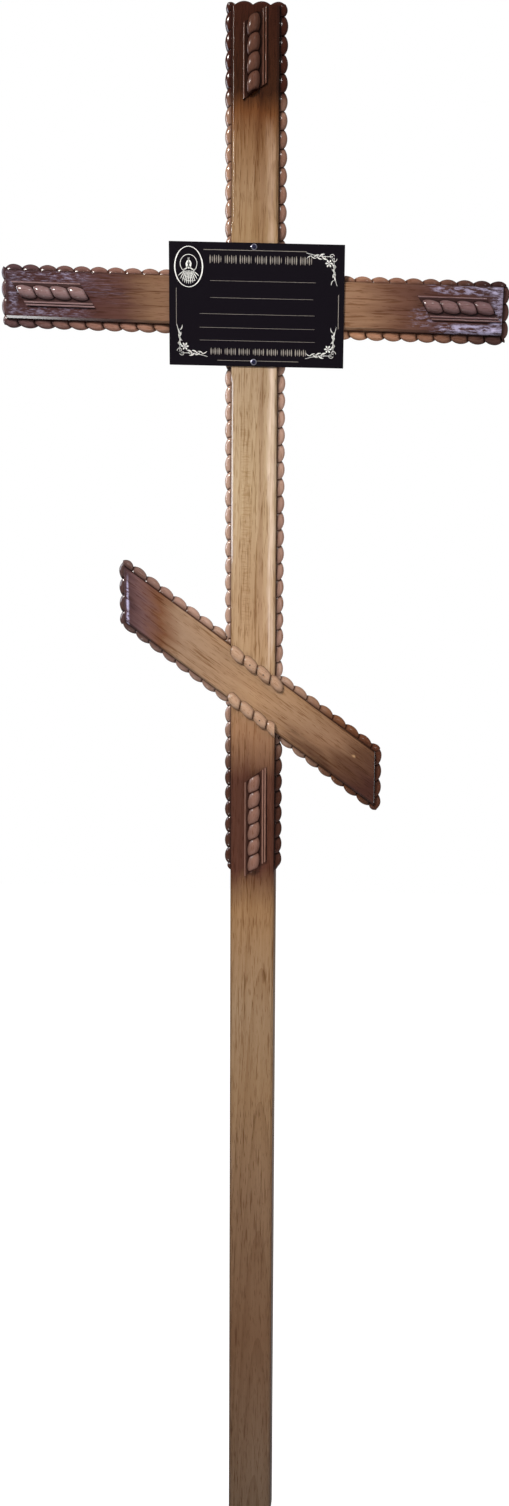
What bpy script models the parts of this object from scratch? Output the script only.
# Oak grave cross: a post, a level arm and a slanted footrest, half-lapped, with carved rope
# moulding nailed round their sides and ends, four rope panels on the faces and an engraved plaque.
# Metres, +Z up, front towards -Y, origin at the middle of the post's underside.
import bpy
import bmesh
from math import ceil, cos, pi, radians, sin, sqrt, tan
from mathutils import Matrix, Vector

for old in list(bpy.data.objects):
    bpy.data.objects.remove(old, do_unlink=True)

# Fit between touching pieces
GAP = 0.0003

# Timbers
TIMBER_WIDTH = 0.070
TIMBER_THICKNESS = 0.035
POST_HEIGHT = 2.480
FOOT_WIDTH = 0.074
ARM_BELOW_TOP = 0.411
ARM_LENGTH = 0.748
ARM_TILT = radians(0.74)
FOOTREST_BELOW_ARM = 0.583
FOOTREST_SPAN = 0.397
FOOTREST_SHIFT = -0.003
FOOTREST_SLANT = radians(35.7)

# Bevel of the front arrises, and how far each run of it stops short of the arm
BEVEL = 0.0035
EASED_EDGE = 0.0005
BEVEL_RUN_OUT = 0.012
BEVEL_STOP = 0.070

# Rope moulding
BEAD_PITCH = 0.0258
ROPE_WIDTH = 0.020
ROPE_HEIGHT = 0.011
NOTCH_WIDTH = 0.0150
NOTCH_HEIGHT = 0.0078
STRAND_LEAN = radians(30)
LOWER_ROPES_BELOW_REST = 0.299
RINGS_PER_BEAD = 4
ARC_STEPS = 4

# Rounding of the ropes at the timbers' corners: where it starts beyond the corner, and its length
ROUND_REACH = 0.0115
ROUND_LENGTH = 0.016
LOWER_ROUND_REACH = 0.0005

# Share of a bead that the saw took off each rope's first end
ROPE_LEADS = {
    "post_rope_top": 0.90, "post_rope_upper_left": 0.72, "post_rope_upper_right": 0.69,
    "post_rope_middle_left": 0.59, "post_rope_middle_right": 0.44,
    "post_rope_lower_left": 0.52, "post_rope_lower_right": 0.29,
    "arm_rope_top_left": 0.24, "arm_rope_top_right": 0.24, "arm_rope_bottom_left": 0.37,
    "arm_rope_bottom_right": 0.14, "arm_rope_end_left": 0.46, "arm_rope_end_right": 0.23,
    "footrest_rope_top_left": 0.65, "footrest_rope_top_right": 0.55,
    "footrest_rope_bottom_left": 0.11, "footrest_rope_bottom_right": 0.85,
    "footrest_rope_end_left": 0.23, "footrest_rope_end_right": 0.24,
}

# Ropes laid on the faces over the footrest's two joint lines
CROSSING_BEADS = 4
UPPER_CROSSING_START = -0.0345
UPPER_CROSSING_INSET = 0.005
LOWER_CROSSING_START = -0.040
LOWER_CROSSING_INSET = 0.003

# Raised rope panels
PANEL_WIDTH = 0.035
PANEL_BASE = 0.002
FILLET_WIDTH = 0.003
FILLET_HEIGHT = 0.0035
PANEL_LEAN = radians(34)
LOWER_PANEL_LEAN = radians(37)
PANEL_ROPE_SHIFT = 0.002
PANEL_BEADS = 4
LOWER_PANEL_BEADS = 6
LEFT_PANEL_INSET = 0.0205
RIGHT_PANEL_INSET = 0.0140
TOP_PANEL_INSET = 0.0144
LOWER_PANEL_INSET = 0.0046
LOWER_PANEL_SIDE = 0.005

# Plaque and its two screws
PLAQUE_WIDTH = 0.263
PLAQUE_HEIGHT = 0.177
PLAQUE_THICKNESS = 0.003
PLAQUE_SIDE = 0.004
PLAQUE_DROP = 0.005
SCREW_INSET = 0.006
SCREW_SHANK_RADIUS = 0.0018
SCREW_HEAD_RADIUS = 0.0031
SCREW_HEAD_HEIGHT = 0.0016
SCREW_DEPTH = 0.016
WASHER_OUTER_RADIUS = 0.0046
WASHER_INNER_RADIUS = 0.0024
WASHER_HEIGHT = 0.0010
ROUND_SIDES = 12

HALF_WIDTH = TIMBER_WIDTH / 2
FRONT = -TIMBER_THICKNESS / 2
ARM_HEIGHT = POST_HEIGHT - ARM_BELOW_TOP
FOOTREST_HEIGHT = ARM_HEIGHT - FOOTREST_BELOW_ARM
LOWER_ROPE_END = FOOTREST_HEIGHT - LOWER_ROPES_BELOW_REST
Y_AXIS = Vector((0, 1, 0))
UP = Vector((0, 0, 1))
RIGHT = Vector((1, 0, 0))


def make_material(name, colour, roughness, metallic=0.0):
    material = bpy.data.materials.new(name)
    material.use_nodes = True
    shader = material.node_tree.nodes["Principled BSDF"]
    shader.inputs["Base Color"].default_value = (*colour, 1)
    shader.inputs["Roughness"].default_value = roughness
    shader.inputs["Metallic"].default_value = metallic
    return material


OAK = make_material("oak", (0.42, 0.27, 0.14), 0.42)
ROPE_OAK = make_material("rope_oak", (0.33, 0.20, 0.13), 0.42)
STAINED_OAK = make_material("stained_oak", (0.12, 0.065, 0.04), 0.38)
BLACK_PLAQUE = make_material("black_plaque", (0.02, 0.018, 0.02), 0.3)
STEEL = make_material("steel", (0.6, 0.62, 0.66), 0.3, 1.0)


def object_from_bmesh(name, bm, material, place=Matrix.Identity(4)):
    bmesh.ops.recalc_face_normals(bm, faces=bm.faces)
    mesh = bpy.data.meshes.new(name)
    bm.to_mesh(mesh)
    bm.free()
    piece = bpy.data.objects.new(name, mesh)
    piece.matrix_world = place
    bpy.context.scene.collection.objects.link(piece)
    if material:
        mesh.materials.append(material)
    else:
        piece.hide_render = True
        piece.display_type = "WIRE"
    return piece


def frame_at(origin, along, outward):
    """Local X runs along the piece, Z stands out of what carries it, Y lies across."""
    across = outward.cross(along)
    columns = Matrix((along, across, outward)).transposed()
    return Matrix.Translation(origin) @ columns.to_4x4()


def loft(rings):
    """Closed skin through rings of points, with a face on the first and last ring."""
    bm = bmesh.new()
    loops = [[bm.verts.new(point) for point in ring] for ring in rings]
    count = len(loops[0])
    for near, far in zip(loops, loops[1:]):
        for i in range(count):
            j = (i + 1) % count
            bm.faces.new((near[i], near[j], far[j], far[i]))
    bm.faces.new(loops[0])
    bm.faces.new(loops[-1])
    return bm


def cut_off(bm, point, direction):
    """Removes what lies beyond the plane through point, and closes the cut."""
    geometry = bm.verts[:] + bm.edges[:] + bm.faces[:]
    result = bmesh.ops.bisect_plane(bm, geom=geometry, dist=1e-6, plane_co=point,
                                    plane_no=direction, clear_outer=True)
    edges = [item for item in result["geom_cut"] if isinstance(item, bmesh.types.BMEdge)]
    bmesh.ops.edgeloop_fill(bm, edges=edges)


def block(name, size, centre, place=Matrix.Identity(4), material=None):
    bm = bmesh.new()
    bmesh.ops.create_cube(bm, size=1)
    bmesh.ops.scale(bm, vec=size, verts=bm.verts)
    bmesh.ops.translate(bm, vec=centre, verts=bm.verts)
    return object_from_bmesh(name, bm, material, place)


def subtract(piece, cutter):
    boolean = piece.modifiers.new("cut " + cutter.name, "BOOLEAN")
    boolean.operation = "DIFFERENCE"
    boolean.solver = "EXACT"
    boolean.object = cutter


# Places where the timbers' edges cross, all in the plane y = 0
arm_along = Vector((cos(ARM_TILT), 0, -sin(ARM_TILT)))
arm_up = Vector((sin(ARM_TILT), 0, cos(ARM_TILT)))
arm_centre = Vector((0, 0, ARM_HEIGHT))
rest_along = Vector((cos(FOOTREST_SLANT), 0, -sin(FOOTREST_SLANT)))
rest_up = Vector((sin(FOOTREST_SLANT), 0, cos(FOOTREST_SLANT)))
rest_centre = Vector((FOOTREST_SHIFT, 0, FOOTREST_HEIGHT))


def crossing(point, along, x):
    """The point of a sloping line that lies at the given x."""
    return point + along * ((x - point.x) / along.x)


def arm_corner(side, edge):
    return arm_centre + arm_along * (side * ARM_LENGTH / 2) + arm_up * (edge * HALF_WIDTH)


def rest_line(edge):
    return rest_centre + rest_up * (edge * HALF_WIDTH)


def rest_corner(side, edge):
    return crossing(rest_line(edge), rest_along, FOOTREST_SHIFT + side * FOOTREST_SPAN / 2)


def arm_on_post(side, edge):
    return crossing(arm_centre + arm_up * (edge * HALF_WIDTH), arm_along, side * HALF_WIDTH)


def rest_on_post(side, edge):
    return crossing(rest_line(edge), rest_along, side * HALF_WIDTH)


def timber_ring(along, half_width, bevel):
    """Cross-section of a timber lying along local X, with its two front arrises bevelled."""
    back = TIMBER_THICKNESS / 2
    return [Vector((along, half_width, -back)), Vector((along, -half_width, -back)),
            Vector((along, -half_width, back - bevel)), Vector((along, -half_width + bevel, back)),
            Vector((along, half_width - bevel, back)), Vector((along, half_width, back - bevel))]


def bevelled_stations(start, end, plain_from, plain_to):
    """Stations of a timber whose bevel runs out at each side of the plain stretch."""
    return [(start, BEVEL), (plain_from - BEVEL_RUN_OUT, BEVEL), (plain_from, EASED_EDGE),
            (plain_to, EASED_EDGE), (plain_to + BEVEL_RUN_OUT, BEVEL), (end, BEVEL)]


def make_post():
    plain_half = HALF_WIDTH + BEVEL_STOP
    stations = bevelled_stations(LOWER_ROPE_END, POST_HEIGHT,
                                 ARM_HEIGHT - plain_half, ARM_HEIGHT + plain_half)
    rings = [timber_ring(0, FOOT_WIDTH / 2, BEVEL)]
    rings += [timber_ring(along, HALF_WIDTH, bevel) for along, bevel in stations]
    return object_from_bmesh("post", loft(rings), OAK, frame_at(Vector(), UP, -Y_AXIS))


def make_arm():
    plain_half = HALF_WIDTH + BEVEL_STOP
    stations = bevelled_stations(-ARM_LENGTH / 2, ARM_LENGTH / 2, -plain_half, plain_half)
    rings = [timber_ring(along, HALF_WIDTH, bevel) for along, bevel in stations]
    return object_from_bmesh("arm", loft(rings), OAK, frame_at(arm_centre, arm_along, -Y_AXIS))


def make_footrest():
    """Made too long, then cut off upright at both ends."""
    place = frame_at(rest_centre, rest_along, -Y_AXIS)
    reach = FOOTREST_SPAN / 2 / cos(FOOTREST_SLANT) + TIMBER_WIDTH * tan(FOOTREST_SLANT)
    bm = loft([timber_ring(-reach, HALF_WIDTH, BEVEL), timber_ring(reach, HALF_WIDTH, BEVEL)])
    for side in (-1, 1):
        end = Vector((FOOTREST_SHIFT + side * FOOTREST_SPAN / 2, 0, FOOTREST_HEIGHT))
        cut_off(bm, place.inverted() @ end, place.to_3x3().inverted() @ (RIGHT * side))
    return object_from_bmesh("footrest", bm, OAK, place)


def half_lap(post, bar, bar_place, bar_length):
    """The bar runs through in front, the post behind, each halved."""
    name = bar.name
    depth = TIMBER_THICKNESS / 2 + GAP
    reach = 3 * TIMBER_WIDTH
    front_slot = block(name + "_slot", (bar_length, TIMBER_WIDTH + 2 * GAP, depth),
                       (0, 0, TIMBER_THICKNESS / 2 - depth / 2 + GAP), bar_place)
    back_slot = block(name + "_halving", (TIMBER_WIDTH + 2 * GAP, depth, reach),
                      (0, TIMBER_THICKNESS / 2 - depth / 2 + GAP, bar_place.translation.z))
    subtract(post, front_slot)
    subtract(bar, back_slot)


def bead_section(phase, width_steps):
    """Points of the rope's round side, from one edge to the other, at a phase along a bead.
    The bead swells from the notches at its two ends as a sine of the phase."""
    swell = sqrt(sin(pi * (phase % 1.0))) if phase % 1.0 > 1e-6 else 0.0
    half = (NOTCH_WIDTH + (ROPE_WIDTH - NOTCH_WIDTH) * swell) / 2
    height = NOTCH_HEIGHT + (ROPE_HEIGHT - NOTCH_HEIGHT) * swell
    angles = [pi * i / width_steps for i in range(width_steps + 1)]
    return [(-half * cos(a), height * sin(a)) for a in angles]


def rope_skin(first, last, pitch, section):
    """Rings from one bead number to another. Each ring leans with the strands."""
    rings = []
    for step in range(round((last - first) * RINGS_PER_BEAD) + 1):
        bead = first + step / RINGS_PER_BEAD
        rings.append([Vector((bead * pitch - across * tan(STRAND_LEAN), across, height))
                      for across, height in section(bead)])
    return loft(rings)


def round_off(bm, end, inward, reach):
    """Rounds a rope down, as a quarter ellipse, from ROUND_LENGTH inside its reach to nothing."""
    for vertex in bm.verts:
        distance = (vertex.co.x - end) * inward + reach
        share = min(max(1 - distance / ROUND_LENGTH, 0), 1)
        vertex.co.z = GAP + (vertex.co.z - GAP) * sqrt(1 - share ** 2)


def rope_section(bead):
    return [(across, GAP + height) for across, height in bead_section(bead, ARC_STEPS)]


def panel_section(bead):
    """A thin board with a fillet along each edge and the rope in the middle."""
    outer = PANEL_WIDTH / 2
    inner = outer - FILLET_WIDTH
    edge = [(-outer, GAP), (-outer, GAP + FILLET_HEIGHT), (-inner, GAP + PANEL_BASE)]
    rope = [(across + PANEL_ROPE_SHIFT, GAP + PANEL_BASE + height)
            for across, height in bead_section(bead, ARC_STEPS)]
    return edge + rope + [(-across, height) for across, height in reversed(edge)]


def mitre_plane(along, neighbour):
    """Normal of the cut between a rope and its neighbour, both running away from their corner."""
    bisector = (along + neighbour).normalized()
    normal = bisector.cross(Y_AXIS).normalized()
    return -normal if normal.dot(along) > 0 else normal


def edge_rope(name, start, end, outward, before, after, material, rounded):
    """Rope nailed along a timber's side from one corner to another, mitred to its neighbours.
    The rounded ends, 0 for the first and 1 for the last, come with the reach of their rounding."""
    along = (end - start).normalized()
    place = frame_at(start, along, outward)
    length = (end - start).length
    margin = ceil(2 * ROPE_HEIGHT / BEAD_PITCH) + 1
    bm = rope_skin(-margin, ceil(length / BEAD_PITCH) + margin, BEAD_PITCH, rope_section)
    bmesh.ops.translate(bm, vec=(-ROPE_LEADS[name] * BEAD_PITCH, 0, 0), verts=bm.verts)
    for which, reach in rounded.items():
        round_off(bm, which * length, 1 - 2 * which, reach)
    to_local = place.to_3x3().inverted()
    first_cut = mitre_plane(along, before) if before else -along
    last_cut = mitre_plane(-along, after) if after else along
    cut_off(bm, to_local @ (-first_cut * GAP / 2), to_local @ first_cut)
    cut_off(bm, to_local @ (along * length - last_cut * GAP / 2), to_local @ last_cut)
    return object_from_bmesh(name, bm, material, place)


def make_post_ropes():
    top_left = Vector((-HALF_WIDTH, 0, POST_HEIGHT))
    top_right = Vector((HALF_WIDTH, 0, POST_HEIGHT))
    both = {0: ROUND_REACH, 1: ROUND_REACH}
    edge_rope("post_rope_top", top_left, top_right, UP, -UP, -UP, STAINED_OAK, both)
    for side, label in ((-1, "left"), (1, "right")):
        outward = RIGHT * side
        corner = top_left if side < 0 else top_right
        edge_rope("post_rope_upper_" + label, corner, arm_on_post(side, 1), outward,
                  -outward, arm_along * side, ROPE_OAK, {0: ROUND_REACH})
        edge_rope("post_rope_middle_" + label, arm_on_post(side, -1), rest_on_post(side, 1),
                  outward, arm_along * side, rest_along * side, ROPE_OAK, {})
        edge_rope("post_rope_lower_" + label, rest_on_post(side, -1),
                  Vector((side * HALF_WIDTH, 0, LOWER_ROPE_END)), outward,
                  rest_along * side, None, ROPE_OAK, {1: LOWER_ROUND_REACH})


def make_arm_ropes():
    both = {0: ROUND_REACH, 1: ROUND_REACH}
    for side, label in ((-1, "left"), (1, "right")):
        outward = arm_along * side
        for edge, level in ((1, "top"), (-1, "bottom")):
            edge_rope("arm_rope_" + level + "_" + label, arm_corner(side, edge),
                      arm_on_post(side, edge), arm_up * edge, -arm_up * edge, UP * edge,
                      ROPE_OAK, {0: ROUND_REACH})
        edge_rope("arm_rope_end_" + label, arm_corner(side, 1), arm_corner(side, -1), outward,
                  -outward, -outward, STAINED_OAK, both)


def make_footrest_ropes():
    both = {0: ROUND_REACH, 1: ROUND_REACH}
    for side, label in ((-1, "left"), (1, "right")):
        inward = -rest_along * side
        for edge, level in ((1, "top"), (-1, "bottom")):
            edge_rope("footrest_rope_" + level + "_" + label, rest_corner(side, edge),
                      rest_on_post(side, edge), rest_up * edge, -UP * edge, UP * edge,
                      ROPE_OAK, {0: ROUND_REACH})
        edge_rope("footrest_rope_end_" + label, rest_corner(side, 1), rest_corner(side, -1),
                  RIGHT * side, inward, inward, STAINED_OAK, both)


def crossing_rope(name, edge, inset, start_x):
    """Rope laid on the faces along one edge of the footrest, over the joint with the post."""
    line = rest_line(edge) - rest_up * (edge * inset)
    start = crossing(line, rest_along, start_x) + Y_AXIS * FRONT
    bm = rope_skin(0, CROSSING_BEADS, BEAD_PITCH, rope_section)
    object_from_bmesh(name, bm, ROPE_OAK, frame_at(start, rest_along, -Y_AXIS))


def rope_panel(name, centre, along, beads, lean=PANEL_LEAN):
    """Board with a rope along it, cut off aslant at both ends."""
    place = frame_at(centre + Y_AXIS * FRONT, along, -Y_AXIS)
    bm = rope_skin(-1, beads + 1, BEAD_PITCH, panel_section)
    length = beads * BEAD_PITCH
    bmesh.ops.translate(bm, vec=(-length / 2, 0, 0), verts=bm.verts)
    slant = Vector((cos(lean), sin(lean), 0))
    for side in (-1, 1):
        cut_off(bm, Vector((side * length / 2, 0, 0)), slant * side)
    return object_from_bmesh(name, bm, STAINED_OAK, place)


def make_panels():
    half = PANEL_BEADS * BEAD_PITCH / 2
    left_place = arm_along * (ARM_LENGTH / 2 - LEFT_PANEL_INSET - half)
    right_place = arm_along * (ARM_LENGTH / 2 - RIGHT_PANEL_INSET - half)
    rope_panel("panel_arm_left", arm_centre - left_place, arm_along, PANEL_BEADS)
    rope_panel("panel_arm_right", arm_centre + right_place, arm_along, PANEL_BEADS)
    top_place = POST_HEIGHT - TOP_PANEL_INSET - half
    rope_panel("panel_post_top", Vector((0, 0, top_place)), UP, PANEL_BEADS)
    lower_place = LOWER_ROPE_END + LOWER_PANEL_INSET + LOWER_PANEL_BEADS * BEAD_PITCH / 2
    rope_panel("panel_post_lower", Vector((LOWER_PANEL_SIDE, 0, lower_place)), UP,
               LOWER_PANEL_BEADS, LOWER_PANEL_LEAN)


def round_piece(name, profile, place, material):
    """Profile of (radius, height) points turned round local Z."""
    rings = []
    for radius, height in profile:
        angles = [2 * pi * i / ROUND_SIDES for i in range(ROUND_SIDES)]
        rings.append([Vector((radius * cos(a), radius * sin(a), height)) for a in angles])
    return object_from_bmesh(name, loft(rings), material, place)


def ring_piece(name, inner, outer, low, high, place, material):
    """Flat washer with its upper edge rounded over by a bevel."""
    bm = bmesh.new()
    loops = []
    edge = (high - low) / 3
    section = [(inner, low), (outer, low), (outer, high - edge), (outer - edge, high),
               (inner + edge, high), (inner, high - edge)]
    for i in range(ROUND_SIDES):
        a = 2 * pi * i / ROUND_SIDES
        loops.append([bm.verts.new((r * cos(a), r * sin(a), z)) for r, z in section])
    for i in range(ROUND_SIDES):
        near, far = loops[i], loops[(i + 1) % ROUND_SIDES]
        for j in range(len(section)):
            k = (j + 1) % len(section)
            bm.faces.new((near[j], near[k], far[k], far[j]))
    return object_from_bmesh(name, bm, material, place)


def make_plaque(post):
    centre = Vector((PLAQUE_SIDE, 0, ARM_HEIGHT - PLAQUE_DROP))
    plaque = block("plaque", (PLAQUE_WIDTH, PLAQUE_THICKNESS, PLAQUE_HEIGHT),
                   centre + Y_AXIS * (FRONT - GAP - PLAQUE_THICKNESS / 2), material=BLACK_PLAQUE)
    face = FRONT - GAP - PLAQUE_THICKNESS
    washer_low = GAP
    head_low = washer_low + WASHER_HEIGHT + GAP
    hole_radius = SCREW_SHANK_RADIUS + GAP
    for side, label in ((1, "top"), (-1, "bottom")):
        height = centre.z + side * (PLAQUE_HEIGHT / 2 - SCREW_INSET)
        place = frame_at(Vector((0, face, height)), RIGHT, -Y_AXIS)
        ring_piece("plaque_washer_" + label, WASHER_INNER_RADIUS, WASHER_OUTER_RADIUS,
                   washer_low, washer_low + WASHER_HEIGHT, place, STEEL)
        profile = [(SCREW_SHANK_RADIUS, -SCREW_DEPTH), (SCREW_SHANK_RADIUS, head_low),
                   (SCREW_HEAD_RADIUS, head_low),
                   (SCREW_HEAD_RADIUS, head_low + SCREW_HEAD_HEIGHT / 2),
                   (SCREW_HEAD_RADIUS * 0.7, head_low + SCREW_HEAD_HEIGHT)]
        round_piece("plaque_screw_" + label, profile, place, STEEL)
        hole = [(hole_radius, -SCREW_DEPTH - GAP), (hole_radius, head_low)]
        drill = round_piece("drill_" + label, hole, place, None)
        subtract(plaque, drill)
        subtract(post, drill)


post = make_post()
arm = make_arm()
footrest = make_footrest()
half_lap(post, arm, frame_at(arm_centre, arm_along, -Y_AXIS), ARM_LENGTH)
half_lap(post, footrest, frame_at(rest_centre, rest_along, -Y_AXIS), 2 * FOOTREST_SPAN)
make_post_ropes()
make_arm_ropes()
make_footrest_ropes()
crossing_rope("crossing_rope_upper", 1, UPPER_CROSSING_INSET, UPPER_CROSSING_START)
crossing_rope("crossing_rope_lower", -1, LOWER_CROSSING_INSET, LOWER_CROSSING_START)
make_panels()
make_plaque(post)
